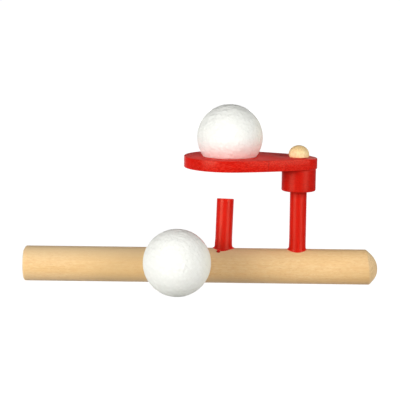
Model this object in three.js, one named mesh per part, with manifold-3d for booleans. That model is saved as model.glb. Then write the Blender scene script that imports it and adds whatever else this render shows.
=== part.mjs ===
// A blow ball pipe toy: blown air leaves an upright nozzle and floats a light ball off its ring.
// Millimetres, +Z up. The origin is the centre of the mouth end, on the pipe's axis, and the
// pipe runs along +X. The object's pieces are wood, apart from the two foam balls.
import * as THREE from 'three';
import { mergeVertices } from 'three/addons/utils/BufferGeometryUtils.js';
import Module from 'manifold-3d';

const wasm = await Module();
wasm.setup();

// Pipe: a turned tube, bored from the mouth end, with a domed solid far end
const PIPE_LENGTH = 216.8;
const PIPE_DIAMETER = 21.5;
const MOUTH_ROUND = 1;
const DOME_LENGTH = 6;
const DOME_FLANK = 2.4;
const DOME_SHOULDER_ROUND = 0.5;
const BORE_DIAMETER = 10;
const BORE_FLARE = 0.7;
const BORE_PAST_NOZZLE = 1.5;
const DRILL_POINT_ANGLE = 118;

// Nozzle: a hollow dowel that stands in the top of the pipe, a little behind its ridge. It leans
// towards the post and back towards the ring, and its top is sawn off a little out of square.
const NOZZLE_PLACE = 121.85;
const NOZZLE_SET_BACK = 0.8;
const NOZZLE_HEIGHT = 30.4;
const NOZZLE_DIAMETER = 10.4;
const NOZZLE_BORE = 7;
const NOZZLE_EDGE = 0.5;
const NOZZLE_LEAN_ANGLE = 1.8;
const NOZZLE_LEAN_BACK_ANGLE = 2.5;
const NOZZLE_CUT_ANGLE = 6;

// Post: a solid dowel beside the nozzle
const POST_SPACING = 45.65;
const POST_HEIGHT = 36.25;
const POST_DIAMETER = 10.2;
const POST_SOCKET_DEPTH = 10;
const POST_EDGE = 0.6;

// Collar: the round block on the post that the arm turns on
const COLLAR_DIAMETER = 20.8;
const COLLAR_HEIGHT = 13.4;
const COLLAR_ROUND = 0.9;
const COLLAR_SOCKET_DEPTH = 6;

// Arm: a flat plate with a narrow end on the collar and a wide end that rings the ball
const ARM_THICKNESS = 6.85;
const ARM_TIP_OVERHANG = 0.7;
const ARM_SIDE_RADIUS = 160;
const ARM_EDGE = 0.5;
const ARM_SWING_ANGLE = 3.2;
const RING_RIM_WIDTH = 11.4;
const RING_SET_BACK = 3.5;

// Peg: the round-headed pin that holds the arm down and that the arm swings on
const PEG_HEAD_DIAMETER = 12.4;
const PEG_HEAD_HEIGHT = 6.85;
const PEG_HEAD_RIM = 1.5;
const PEG_SHANK_DIAMETER = 6.3;
const PEG_SHANK_CHAMFER = 0.8;
const PEG_DEPTH_IN_COLLAR = 6.2;

// Balls: one in the ring and a spare one beside the pipe. The ring's hole is a share of the
// ball, so that the ball sits well down in it and still lifts out.
const BALL_DIAMETER = 40;
const RING_HOLE_SHARE = 0.81;
const SPARE_BALL_PLACE = 95;
const SPARE_BALL_SPACE = 9.75;

// Fits: all round a glued dowel, between the arm and what it turns between, and at the seat
const GLUE_GAP = 0.3;
const RUNNING_GAP = 0.3;
const PIVOT_CLEARANCE = 0.1;
const SEAT_GAP = 0.3;
const CUT_OVERRUN = 2;

// Facet counts
const ROUND_STEPS = 64;
const SMALL_ROUND_STEPS = 48;
const EDGE_STEPS = 3;
const NOSE_STEPS = 8;
const BALL_STEPS = 40;

// Sizes and heights worked out from those above
const rad = THREE.MathUtils.degToRad;
const pipeRadius = PIPE_DIAMETER / 2;
const boreRadius = BORE_DIAMETER / 2;
const nozzleRadius = NOZZLE_DIAMETER / 2;
const postRadius = POST_DIAMETER / 2;
const collarRadius = COLLAR_DIAMETER / 2;
const shankRadius = PEG_SHANK_DIAMETER / 2;
const ballRadius = BALL_DIAMETER / 2;
const ringHoleRadius = RING_HOLE_SHARE * (ballRadius + SEAT_GAP);
const ringRadius = ringHoleRadius + RING_RIM_WIDTH;
const armTipRadius = collarRadius + ARM_TIP_OVERHANG;
const armReach = POST_SPACING - RING_SET_BACK;
const postPlace = NOZZLE_PLACE + POST_SPACING;
const collarBottom = pipeRadius + POST_HEIGHT;
const collarTop = collarBottom + COLLAR_HEIGHT;
const armBottom = collarTop + RUNNING_GAP;
const armTop = armBottom + ARM_THICKNESS;
const seatRise = Math.sqrt((ballRadius + SEAT_GAP) ** 2 - ringHoleRadius ** 2);

const naturalWood = { color: 0xe6c08a, roughness: 0.6, metalness: 0 };
const redPaint = { color: 0xd2251a, roughness: 0.4, metalness: 0 };
const whiteFoam = { color: 0xf6f5ef, roughness: 0.7, metalness: 0 };

// A closed solid from a three.js geometry, ready to be cut or joined
function solid(geometry) {
  const shape = geometry.clone();
  shape.deleteAttribute('normal');
  shape.deleteAttribute('uv');
  const merged = mergeVertices(shape);
  return new wasm.Manifold(new wasm.Mesh({
    numProp: 3,
    vertProperties: new Float32Array(merged.attributes.position.array),
    triVerts: new Uint32Array(merged.index.array),
  }));
}

// A three.js geometry from a solid
function geometryOf(body) {
  const mesh = body.getMesh();
  const geometry = new THREE.BufferGeometry();
  geometry.setAttribute('position', new THREE.BufferAttribute(mesh.vertProperties, 3));
  geometry.setIndex(new THREE.BufferAttribute(mesh.triVerts, 1));
  geometry.computeVertexNormals();
  return geometry;
}

function mesh(name, geometry, finish) {
  const item = new THREE.Mesh(geometry, new THREE.MeshStandardMaterial(finish));
  item.name = name;
  return item;
}

// Points of an arc about a centre, both ends included
function arc(centreX, centreY, radius, from, to, steps) {
  const points = [];
  for (let i = 0; i <= steps; i += 1) {
    const angle = from + ((to - from) * i) / steps;
    points.push(new THREE.Vector2(
      centreX + radius * Math.cos(angle),
      centreY + radius * Math.sin(angle),
    ));
  }
  return points;
}

// A profile of (radius, height) points turned about the Z axis. It runs from low to high on
// the outside, and starts and ends on the axis or closes on itself.
function turnedUpright(profile, steps = SMALL_ROUND_STEPS) {
  return new THREE.LatheGeometry(profile, steps).rotateX(Math.PI / 2);
}

// The same about the X axis, with heights along +X
function turnedAlong(profile, steps = ROUND_STEPS) {
  return new THREE.LatheGeometry(profile, steps).rotateZ(-Math.PI / 2);
}

// A plain round cutter that stands on the XY plane
function drill(radius, depth) {
  const bit = new THREE.CylinderGeometry(radius, radius, depth, SMALL_ROUND_STEPS);
  return bit.rotateX(Math.PI / 2).translate(0, 0, depth / 2);
}

// The pipe's outside: a rounded mouth edge, a straight wall, a short flank at 45 degrees and a
// round nose that carries the flank on
function pipeOutside() {
  const wallEnd = PIPE_LENGTH - DOME_LENGTH;
  const noseEdge = pipeRadius - DOME_FLANK;
  const noseRise = DOME_LENGTH - DOME_FLANK;
  const noseRadius = (noseEdge ** 2 + noseRise ** 2) / (2 * noseRise);
  const noseAngle = Math.asin(noseEdge / noseRadius);
  return [
    new THREE.Vector2(0, 0),
    ...arc(pipeRadius - MOUTH_ROUND, MOUTH_ROUND, MOUTH_ROUND, -Math.PI / 2, 0, EDGE_STEPS),
    new THREE.Vector2(pipeRadius, wallEnd - DOME_SHOULDER_ROUND),
    new THREE.Vector2(pipeRadius - DOME_SHOULDER_ROUND / 2, wallEnd + DOME_SHOULDER_ROUND / 2),
    ...arc(0, PIPE_LENGTH - noseRadius, noseRadius, Math.PI / 2 - noseAngle, Math.PI / 2, NOSE_STEPS)
      .slice(0, -1),
    new THREE.Vector2(0, PIPE_LENGTH),
  ];
}

// The air bore: flared at the mouth, it ends in a drill point just past the nozzle
function boreCutter() {
  const depth = NOZZLE_PLACE + nozzleRadius + BORE_PAST_NOZZLE;
  const point = boreRadius / Math.tan(rad(DRILL_POINT_ANGLE / 2));
  return turnedAlong([
    new THREE.Vector2(0, -CUT_OVERRUN),
    new THREE.Vector2(boreRadius + BORE_FLARE, -CUT_OVERRUN),
    new THREE.Vector2(boreRadius + BORE_FLARE, 0),
    new THREE.Vector2(boreRadius, BORE_FLARE),
    new THREE.Vector2(boreRadius, depth),
    new THREE.Vector2(0, depth + point),
  ]);
}

// Leans a form that is drawn upright about the nozzle's axis, and sets it in its place
function asNozzleStands(geometry) {
  return geometry
    .rotateX(-rad(NOZZLE_LEAN_BACK_ANGLE))
    .rotateY(rad(NOZZLE_LEAN_ANGLE))
    .translate(NOZZLE_PLACE, NOZZLE_SET_BACK, 0);
}

// The nozzle's socket leans with the nozzle and opens into the top half of the bore
function nozzleSocketCutter() {
  const bit = drill(nozzleRadius + GLUE_GAP, pipeRadius + CUT_OVERRUN);
  return asNozzleStands(bit.translate(0, 0, boreRadius / 2));
}

// The post's socket is blind, in the solid wood past the bore
function postSocketCutter() {
  return drill(postRadius + GLUE_GAP, POST_SOCKET_DEPTH + CUT_OVERRUN)
    .translate(postPlace, 0, pipeRadius - POST_SOCKET_DEPTH);
}

function makePipe() {
  const body = solid(turnedAlong(pipeOutside()))
    .subtract(solid(boreCutter()))
    .subtract(solid(nozzleSocketCutter()))
    .subtract(solid(postSocketCutter()));
  return mesh('pipe', geometryOf(body), naturalWood);
}

// A dowel's profile from low to high, with both ends eased
function dowelProfile(radius, low, high, edge) {
  return [
    new THREE.Vector2(0, low),
    new THREE.Vector2(radius - edge, low),
    new THREE.Vector2(radius, low + edge),
    ...arc(radius - edge, high - edge, edge, 0, Math.PI / 2, EDGE_STEPS),
    new THREE.Vector2(0, high),
  ];
}

// The nozzle's foot stands level with the roof of the bore. Its top is cut by a plane that
// crosses its axis at full height and slopes down towards the back.
function makeNozzle() {
  const low = boreRadius + GLUE_GAP;
  const high = pipeRadius + NOZZLE_HEIGHT;
  const slope = rad(NOZZLE_CUT_ANGLE);
  const outside = turnedUpright(dowelProfile(nozzleRadius, low, high + CUT_OVERRUN, NOZZLE_EDGE));
  const hole = drill(NOZZLE_BORE / 2, high + 2 * CUT_OVERRUN);
  const body = solid(outside)
    .subtract(solid(hole))
    .trimByPlane([0, -Math.sin(slope), -Math.cos(slope)], -high * Math.cos(slope));
  return mesh('nozzle', asNozzleStands(geometryOf(body)), redPaint);
}

function makePost() {
  const low = pipeRadius - POST_SOCKET_DEPTH + GLUE_GAP;
  const high = collarBottom + COLLAR_SOCKET_DEPTH - GLUE_GAP;
  const post = mesh('post', turnedUpright(dowelProfile(postRadius, low, high, POST_EDGE)), redPaint);
  post.position.x = postPlace;
  return post;
}

// The collar is bored right through for the peg and counterbored from below for the post
function makeCollar() {
  const outside = turnedUpright([
    new THREE.Vector2(0, 0),
    ...arc(collarRadius - COLLAR_ROUND, COLLAR_ROUND, COLLAR_ROUND, -Math.PI / 2, 0, EDGE_STEPS),
    ...arc(
      collarRadius - COLLAR_ROUND / 2,
      COLLAR_HEIGHT - COLLAR_ROUND / 2,
      COLLAR_ROUND / 2,
      0,
      Math.PI / 2,
      EDGE_STEPS,
    ),
    new THREE.Vector2(0, COLLAR_HEIGHT),
  ], ROUND_STEPS);
  const postSocket = drill(postRadius + GLUE_GAP, COLLAR_SOCKET_DEPTH + CUT_OVERRUN)
    .translate(0, 0, -CUT_OVERRUN);
  const pegHole = drill(shankRadius + GLUE_GAP, COLLAR_HEIGHT + CUT_OVERRUN);
  const body = solid(outside).subtract(solid(postSocket)).subtract(solid(pegHole));
  const collar = mesh('post_collar', geometryOf(body), redPaint);
  collar.position.set(postPlace, 0, collarBottom);
  return collar;
}

// The plate's outline, with the pivot at the origin and the ring's centre on the -X axis: two
// round ends, joined by long shallow arcs that touch both of them from outside
function armOutline() {
  const toRing = ARM_SIDE_RADIUS - ringRadius;
  const toTip = ARM_SIDE_RADIUS - armTipRadius;
  const along = (toTip ** 2 - toRing ** 2 + armReach ** 2) / (2 * armReach);
  const across = Math.sqrt(toTip ** 2 - along ** 2);
  const tipTurn = Math.atan2(across, along);
  const ringTurn = Math.atan2(across, along - armReach);
  const side = arc(-along, -across, ARM_SIDE_RADIUS, tipTurn, ringTurn, NOSE_STEPS);
  const otherSide = side.map((point) => new THREE.Vector2(point.x, -point.y)).reverse();
  const ringEnd = arc(-armReach, 0, ringRadius, ringTurn, 2 * Math.PI - ringTurn, SMALL_ROUND_STEPS);
  const tipEnd = arc(0, 0, armTipRadius, -tipTurn, tipTurn, NOSE_STEPS * 2);
  return new THREE.Shape([
    ...side.slice(0, -1),
    ...ringEnd.slice(0, -1),
    ...otherSide.slice(0, -1),
    ...tipEnd.slice(0, -1),
  ]);
}

// A hole right through the plate, eased at both faces
function platePunch(radius, ease) {
  return turnedUpright([
    new THREE.Vector2(0, -CUT_OVERRUN),
    new THREE.Vector2(radius + ease, -CUT_OVERRUN),
    new THREE.Vector2(radius + ease, 0),
    new THREE.Vector2(radius, ease),
    new THREE.Vector2(radius, ARM_THICKNESS - ease),
    new THREE.Vector2(radius + ease, ARM_THICKNESS),
    new THREE.Vector2(radius + ease, ARM_THICKNESS + CUT_OVERRUN),
    new THREE.Vector2(0, ARM_THICKNESS + CUT_OVERRUN),
  ], ROUND_STEPS);
}

function makeArmPlate() {
  const plate = new THREE.ExtrudeGeometry(armOutline(), {
    depth: ARM_THICKNESS - 2 * ARM_EDGE,
    bevelEnabled: true,
    bevelThickness: ARM_EDGE,
    bevelSize: ARM_EDGE,
    bevelOffset: -ARM_EDGE,
    bevelSegments: EDGE_STEPS,
  }).translate(0, 0, ARM_EDGE);
  const ringHole = platePunch(ringHoleRadius, ARM_EDGE).translate(-armReach, 0, 0);
  const pivotHole = platePunch(shankRadius + PIVOT_CLEARANCE, ARM_EDGE / 2);
  const body = solid(plate).subtract(solid(ringHole)).subtract(solid(pivotHole));
  return mesh('ball_arm', geometryOf(body), redPaint);
}

function makeBall(name) {
  const ball = new THREE.SphereGeometry(ballRadius, BALL_STEPS, BALL_STEPS / 2).rotateX(Math.PI / 2);
  return mesh(name, ball, whiteFoam);
}

// The arm and the ball in its ring, turned a little about the peg. The ball rests on the lower
// edge of the ring's eased rim.
function makeSwingArm() {
  const swing = new THREE.Group();
  const ball = makeBall('ring_ball');
  ball.position.set(-armReach, 0, ARM_THICKNESS - ARM_EDGE + seatRise);
  swing.add(makeArmPlate(), ball);
  swing.position.set(postPlace, 0, armBottom);
  swing.rotation.z = -rad(ARM_SWING_ANGLE);
  return swing;
}

// The peg's head swells from a flat underside to its widest line, and domes over from there
function makePeg() {
  const headRadius = PEG_HEAD_DIAMETER / 2;
  const headBottom = armTop + RUNNING_GAP;
  const shankEnd = collarTop - PEG_DEPTH_IN_COLLAR;
  const domeRise = PEG_HEAD_HEIGHT - PEG_HEAD_RIM;
  const dome = arc(0, 0, 1, 0, Math.PI / 2, NOSE_STEPS).map((point) => new THREE.Vector2(
    headRadius * point.x,
    headBottom + PEG_HEAD_RIM + domeRise * point.y,
  ));
  const peg = mesh('pivot_peg', turnedUpright([
    new THREE.Vector2(0, shankEnd),
    new THREE.Vector2(shankRadius - PEG_SHANK_CHAMFER, shankEnd),
    new THREE.Vector2(shankRadius, shankEnd + PEG_SHANK_CHAMFER),
    new THREE.Vector2(shankRadius, headBottom),
    new THREE.Vector2(headRadius - PEG_HEAD_RIM, headBottom),
    ...arc(
      headRadius - PEG_HEAD_RIM,
      headBottom + PEG_HEAD_RIM,
      PEG_HEAD_RIM,
      -Math.PI / 2,
      0,
      EDGE_STEPS,
    ).slice(1, -1),
    ...dome.slice(0, -1),
    new THREE.Vector2(0, headBottom + PEG_HEAD_HEIGHT),
  ]), naturalWood);
  peg.position.x = postPlace;
  return peg;
}

// The spare ball lies on the surface that the pipe lies on, a little way in front of it
function makeSpareBall() {
  const ball = makeBall('spare_ball');
  ball.position.set(
    SPARE_BALL_PLACE,
    -(pipeRadius + SPARE_BALL_SPACE + ballRadius),
    ballRadius - pipeRadius,
  );
  return ball;
}

const toy = new THREE.Group();
toy.add(
  makePipe(),
  makeNozzle(),
  makePost(),
  makeCollar(),
  makeSwingArm(),
  makePeg(),
  makeSpareBall(),
);

export default toy;
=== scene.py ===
# A blow ball pipe toy: a bored wooden pipe with a red nozzle, a red post that carries a
# swinging ring arm, and two white foam balls. Metres, +Z up, with the pipe along +X from its
# mouth end.
import math

import bmesh
import bpy
from mathutils import Matrix, Vector, noise


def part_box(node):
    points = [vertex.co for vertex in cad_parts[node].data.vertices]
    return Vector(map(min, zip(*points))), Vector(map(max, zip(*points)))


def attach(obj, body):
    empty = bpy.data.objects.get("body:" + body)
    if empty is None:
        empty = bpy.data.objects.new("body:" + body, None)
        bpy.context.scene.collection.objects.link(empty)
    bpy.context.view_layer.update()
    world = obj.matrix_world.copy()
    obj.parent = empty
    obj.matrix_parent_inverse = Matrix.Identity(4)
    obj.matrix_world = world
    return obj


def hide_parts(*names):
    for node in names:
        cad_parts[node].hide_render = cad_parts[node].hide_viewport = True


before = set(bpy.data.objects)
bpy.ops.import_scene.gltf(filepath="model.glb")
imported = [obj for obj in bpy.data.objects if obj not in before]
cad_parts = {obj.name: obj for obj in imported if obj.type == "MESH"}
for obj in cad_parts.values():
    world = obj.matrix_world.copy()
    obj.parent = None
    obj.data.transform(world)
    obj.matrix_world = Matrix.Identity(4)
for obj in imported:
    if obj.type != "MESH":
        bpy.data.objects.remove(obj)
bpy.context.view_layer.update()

MM = 0.001
QUARTER_TURN = math.pi / 2
FULL_TURN = 2 * math.pi
ALONG_PIPE = Vector((1, 0, 0))
BACKWARD = Vector((0, 1, 0))
UPWARD = Vector((0, 0, 1))

# Camera
CAMERA_PLACE = Vector((118.21, -850.1, 171.24)) * MM
CAMERA_TURN = math.radians(-0.7128)
CAMERA_DIP = math.radians(8.7498)
CAMERA_TILT = math.radians(0.5716)
CAMERA_LENS = 126.92
SENSOR_WIDTH = 36
CLIP_START = 10 * MM
CLIP_END = 200

# Floor and background
FLOOR_SIZE = 60
FLOOR_COLOUR = (0.56, 0.56, 0.55)
FLOOR_SHADE = (0.22, 0.22, 0.22)
FLOOR_GLOW = ((0.25, 0.97), (1.0, 1.0))
FLOOR_NEAR = ((0.14, 1.0), (0.2, 0.0))
BACKDROP_EDGE = ((0.86, 0.0), (0.97, 1.0))
SURROUNDINGS = (0.125, 0.125, 0.125)
TOY_MIDDLE = Vector((110, 0, 0)) * MM

# Lamps: name, side angle, height angle, distance, width, height, power, seen in a gloss
LAMP_TARGET = Vector((115, 0, 30)) * MM
LAMPS = (
    ("left_soft_box", -49.5, 13.5, 1.0, 0.66, 0.46, 8.0, True),
    ("right_soft_box", 48, 16, 1.0, 0.6, 0.5, 6.1, True),
    ("front_fill", -4, 3, 1.4, 1.4, 0.4, 2.5, False),
    ("back_fill", 176, 1.5, 1.2, 1.6, 0.14, 4.5, False),
)

# Pipe
BORE_RADIUS = 5 * MM
BORE_DEPTH = 128.55 * MM
BORE_STEP = 8 * MM
DRILL_POINT = 3 * MM
BORE_FLARE = 0.7 * MM
MOUTH_ROUND = 1.2 * MM
MOUTH_WEAR = 0.8 * MM
WEAR_REACH = 4 * MM
WEAR_SHARE = 0.2
DOME_LENGTH = 6 * MM
DOME_FLANK = 2.4 * MM
DOME_SLOPE = math.radians(6)
DOME_SLOPE_DROP = 0.1
DOME_BLEND = 12 * MM
SHOULDER_ROUND = 0.45 * MM
SHOULDER_EASE = ((-1, 0), (-0.2, 0.12), (0.5, 0.5))
WALL_STEP = 4 * MM
SOCKET_FIT = 0.05 * MM
POST_SOCKET_DEPTH = 10 * MM

# Nozzle
NOZZLE_PLACE = Vector((121.85, 0.8, 0)) * MM
NOZZLE_LEAN = math.radians(1.8)
NOZZLE_LEAN_BACK = math.radians(2.5)
NOZZLE_CUT = math.radians(6)
NOZZLE_RADIUS = 5.2 * MM
NOZZLE_LOW = 5.3 * MM
NOZZLE_TOP = 41.15 * MM
NOZZLE_BORE_RADIUS = 3.5 * MM
NOZZLE_EDGE = 0.45 * MM
NOZZLE_CUT_REACH = 1.5 * NOZZLE_EDGE

# Post and collar
POST_EDGE = 0.6 * MM
COLLAR_ROUND = 0.9 * MM
COLLAR_TOP_ROUND = 0.45 * MM
COLLAR_STEP = 2 * MM
COLLAR_SOCKET_DEPTH = 6 * MM

# Arm
ARM_SIDE_RADIUS = 160 * MM
ARM_EDGE = 0.45 * MM
ARM_EDGE_STEPS = 4
HOLE_EASE_SHARE = 0.3
PUNCH_REACH = 4 * ARM_EDGE
RING_RIM_WIDTH = 11.4 * MM
PIVOT_CLEARANCE = 0.1 * MM
TIP_WEAR = 0.55 * MM
TIP_WEAR_START = 4.5 * MM

# Peg
PEG_SHANK_RADIUS = 3.15 * MM
PEG_WIDEST = 1.7 * MM
PEG_TUCK = 0.35 * MM
PEG_GAP = 0.05 * MM
PEG_CHAMFER = 0.8 * MM
PEG_OFFSET = 0.2 * MM
PEG_HEAD_MARGIN = 0.1 * PEG_GAP

# Foam balls, in millimetres: beads, the joints between them, and shallow hollows
FOAM_BEAD_WIDTH = 2.5
FOAM_BEAD_JOINT = 0.35
FOAM_JOINT_DEPTH = 0.07
FOAM_BEAD_ROUNDING = 0.02
FOAM_HOLLOW_WIDTH = 6
FOAM_HOLLOW_DEPTH = 0.05

# Paint at the dowels' feet: (height, how proud of the dowel) in millimetres
RIDGE_PROFILE = (
    (-0.5, -0.3), (-0.4, 0.8), (-0.05, 1.0), (0.1, 0.84), (0.25, 0.58), (0.5, 0.32), (0.85, 0.17),
    (1.4, 0.11), (2.6, 0.07), (4.2, 0.03), (4.9, -0.01), (5.6, -0.05), (5.6, -0.3), (-0.5, -0.3),
)
RIDGE_HEIGHT_LEAST = 0.7
RIDGE_HEIGHT_RISE = 0.3
RIDGE_LUMPS = 0.08
# How wide the paint spreads: the least, the lobes as (share, degrees round the dowel, width),
# then how many lumps go round and which pattern of them
NOZZLE_SPREAD = (0.36, ((1.15, 180, 38), (1.5, 0, 35), (0.5, -108, 36), (0.5, 90, 60)), 3, 4.2)
POST_SPREAD = (0.12, ((1.15, 180, 35), (0.5, 0, 32), (0.3, -135, 25), (0.3, -45, 25)), 2, 9.1)

# The run of paint beside the nozzle
RUN_START = Vector((-2.5, -3.7, 9.85)) * MM
RUN_END = Vector((-2.75, -6.5, 8.8)) * MM
RUN_RADIUS = 1.35 * MM
RUN_SWELL = (0.0, 0.2, 0.4, 0.6)
RUN_TOP_WIDTH = 0.6
RUN_TIP = 0.65
RUN_TIP_START = 0.15
RUN_TIP_STEPS = 8
RUN_STEPS = 32

# Facet counts and smallest distances
ROUND_STEPS = 128
SMALL_ROUND_STEPS = 96
EDGE_STEPS = 5
WIDE_EDGE_STEPS = 7
NOSE_STEPS = 14
SIDE_SWEEP_STEPS = 24
RING_SWEEP_STEPS = 96
TIP_SWEEP_STEPS = 40
BALL_SUBDIVISIONS = 7
MERGE_GAP = 0.001 * MM
LEVEL_GAP = 0.01 * MM

# Grain directions
AS_DRAWN = (0, 0, 0)
GRAIN_UP = (0, QUARTER_TURN, 0)

# Patterns: width of a streak, its length in widths, detail, roughness
RING_DRIFT = (8 * MM, 16, 2.0, 0.55)
BROAD_STREAKS = (4 * MM, 14, 3.0, 0.55)
LONG_STREAKS = (0.9 * MM, 34, 4.0, 0.6)
FIBRES = (0.3 * MM, 30, 3.0, 0.6)
FLECKS = (0.42 * MM, 5, 2.0, 0.5)
MOTTLE = (1.0 * MM, 3, 3.0, 0.6)
PORES = (0.75 * MM, 3, 3.0, 0.6)
BRUSH_STROKES = (0.45 * MM, 26, 4.0, 0.6)
PAINT_PATCHES = (3.2 * MM, 3, 3.0, 0.6)
PAINT_SKIN = (0.2 * MM, 5, 2.0, 0.5)
FOAM_SKIN = (0.9 * MM, 1, 3.0, 0.55)
FOAM_DENTS = (3.4 * MM, 1, 2.0, 0.5)

# Natural wood: colours, which are linear red, green and blue here and below
MOTTLE_BROWN = (0.8, 0.47, 0.2)
FLECK_BROWN = (0.7, 0.37, 0.15)
PORE_BROWN = (0.62, 0.42, 0.22)
# Painted light and shade on the pipe: lighter wood on the spare ball's shadow, greyer wood for
# sheen, darker wood low on the dome
SHADOW_LIFT_WOOD = (1.0, 0.66, 0.28)
SHEEN_WOOD = (0.78, 0.59, 0.35)
DOME_SHADE_WOOD = (0.56, 0.34, 0.12)

# Natural wood: yearly rings, and the shares of each pattern as (pattern, share) stops
RING_SPACING = 1.9 * MM
RING_WOBBLE = 2.4 * MM
RING_SHARE = 0.25
RING_YEAR = ((0.0, 0.35), (0.12, 0.0), (0.6, 0.25), (0.93, 1.0), (1.0, 0.35))
PALE_STREAKS = ((0.35, 0.0), (0.7, 0.6))
DARK_STREAKS = ((0.32, 0.55), (0.52, 0.0))
DARK_FIBRES = ((0.35, 0.3), (0.6, 0.0))
MOTTLE_LOW, MOTTLE_MIDDLE, MOTTLE_HIGH = 0.35, 0.52, 0.68
MOTTLE_DARK_SHARE = 0.35
MOTTLE_PALE_SHARE = 0.4
SHORT_FLECKS = ((0.0, 0.0), (0.58, 0.0), (0.7, 1.0))
FLECK_SHARE = 0.5
OPEN_PORES = ((0.38, 1.0), (0.54, 0.0))
PORE_SHARE = 0.75
END_GRAIN_TURN = ((0.3, 0.0), (0.7, 0.85))
WOOD_ROUGHNESS = 0.46
FIBRE_ROUGHNESS = 0.12
WOOD_GLOSS = 0.5
FIBRE_RELIEF = 0.03 * MM
STREAK_RELIEF = 0.04 * MM

# The pipe's painted light and shade: end grain lighter above and darker below, lighter wood
# where the spare ball's shadow falls, painted sheen toward top and bottom, painted shade low on the
# dome
END_SHADE_REACH = 9 * MM
END_SHADE_LOW = 0.87
END_SHADE_HIGH = 1.13
SHADOW_LIFT_MIDDLE = 64 * MM
SHADOW_LIFT_FROM = 12 * MM
SHADOW_LIFT_TO = 42 * MM
SHADOW_LIFT_SHARE = 0.45
SHEEN_FROM = 3 * MM
SHEEN_TO = 10 * MM
SHEEN_MOUTH_HALF = 120 * MM
SHEEN_DOME_END = 170 * MM
SHEEN_DOME_SHARE = 0.2
DOME_SHADE_WAY = (0.35, 0, -0.94)
DOME_SHADE_FROM = 64 * MM
DOME_SHADE_TO = 82 * MM
DOME_SHADE_SHARE = 0.48

# Red paint: colours
DARK_RED = (0.4, 0.002, 0.0005)
DEEPEST_RED = (0.2, 0.0, 0.0)
STROKE_REDS = ((0.64, 0.004, 0.0002), (0.72, 0.006, 0.0005))
# Flat top faces: lighter, pinker reds that are painted light and sheen
LIT_FACE_REDS = ((0.78, 0.03, 0.02), (0.92, 0.052, 0.038))
PATCH_RED = (0.54, 0.0035, 0.0005)
# Pale specks that are painted glints in the paint's shine
GLINT_RED = (0.84, 0.072, 0.046)
# Painted light on the arm's wide end
LIT_END_RED = (0.95, 0.012, 0.004)
# Painted sheen on the top of the arm's tip
TIP_SHEEN_RED = (0.92, 0.2, 0.165)
GLOSS_TINT = (1, 0.95, 0.65, 1)

# Red paint: strokes, patches, speckle, sheen and relief
STROKE_LOW, STROKE_HIGH = 0.35, 0.65
PATCH_LOW, PATCH_HIGH = 0.35, 0.55
PATCH_SHARE = 0.3
SPECKLE_WIDTH = 0.48 * MM
SPECKLE_LENGTH = 1.6
SPECKLE_DETAIL = 3.0
SPECKLE_COARSENESS = 0.65
SPECKLE_LOW, SPECKLE_MIDDLE, SPECKLE_HIGH = 0.38, 0.5, 0.62
SPECKLE_SHARE = 0.22
SIDE_TURN = ((0.3, 0.0), (0.85, 1.0))
FRONT_TURN = ((0.5, 0.0), (0.8, 1.0))
FLAT_TURN = ((0.5, 0.0), (0.9, 1.0))
PAINT_ROUGHNESS = 0.15
SANDED_ROUGHNESS = 0.33
STROKE_ROUGHNESS = 0.16
SHADED_ROUGHNESS = 0.3
FLAT_ROUGHNESS = 0.4
PAINT_SKIN_RELIEF = 0.02 * MM
STROKE_RELIEF = 0.03 * MM
SPECKLE_RELIEF = 0.05 * MM

# Painted shade and shadow in dark red: two heights, the share at each, and the side, if only one
# Painted shadow of the spare ball: the nozzle's foot is darker.
NOZZLE_FOOT_SHADOW = (9 * MM, 17 * MM, 0.75, 0.0, None)
# Painted shade under the collar, at the post's top.
POST_TOP_SHADE = (42.2 * MM, 46 * MM, 0.0, 0.75, None)
# Painted shadow of the arm on the collar's top, on its left front.
COLLAR_TOP_SHADOW = (57 * MM, 60 * MM, 0.0, 0.75, (-0.8, -0.6, 0))

# The arm's paint along X: a line across its edge, painted light on its wide end,
# and painted sheen on its tip's top
LINE_PLACE = 148.4 * MM
LINE_WAVER = 1.2 * MM
LINE_FROM = 0.15 * MM
LINE_TO = 0.7 * MM
LINE_SHARE = 0.5
LIT_END_FROM = 105 * MM
LIT_END_TO = 98 * MM
LIT_END_SHARE = 0.6
TIP_SHEEN_FROM = 170 * MM
TIP_SHEEN_TO = 175 * MM
TIP_SHEEN_SHARE = 0.9

# White foam: colours, beads, sheen and relief
FOAM_WHITE = (0.93, 0.935, 0.885)
FOAM_JOINT = (0.895, 0.9, 0.85)
FOAM_SHADE = (0.885, 0.885, 0.83)
# Painted warm reflection of the wood, on the balls' +X side.
FOAM_WOOD_REFLECTION = (0.93, 0.9, 0.7)
# Painted red reflection of the red paint near the balls.
FOAM_RED_REFLECTION = (0.84, 0.56, 0.51)
BEADS_PER_METRE = 420.0
BEAD_WARP = Vector((1.2, 1.2, 1.2)) * MM
BEAD_WARP_DETAIL = 2.0
BEAD_JOINTS = ((0.25, 0.0), (0.65, 1.0))
SKIN_SHADE = ((0.3, 0.4), (0.5, 0.0))
WOOD_REFLECTION_FROM = 13 * MM
WOOD_REFLECTION_TO = 19.5 * MM
RED_REFLECTION_WAVER = 3 * MM
RED_REFLECTION_FADE = 1.2
FOAM_ROUGHNESS = 0.8
FOAM_GLOSS = 0.12
DENT_RELIEF = 0.7 * MM
SKIN_RELIEF = 0.07 * MM
JOINT_RELIEF = 0.17 * MM

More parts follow.
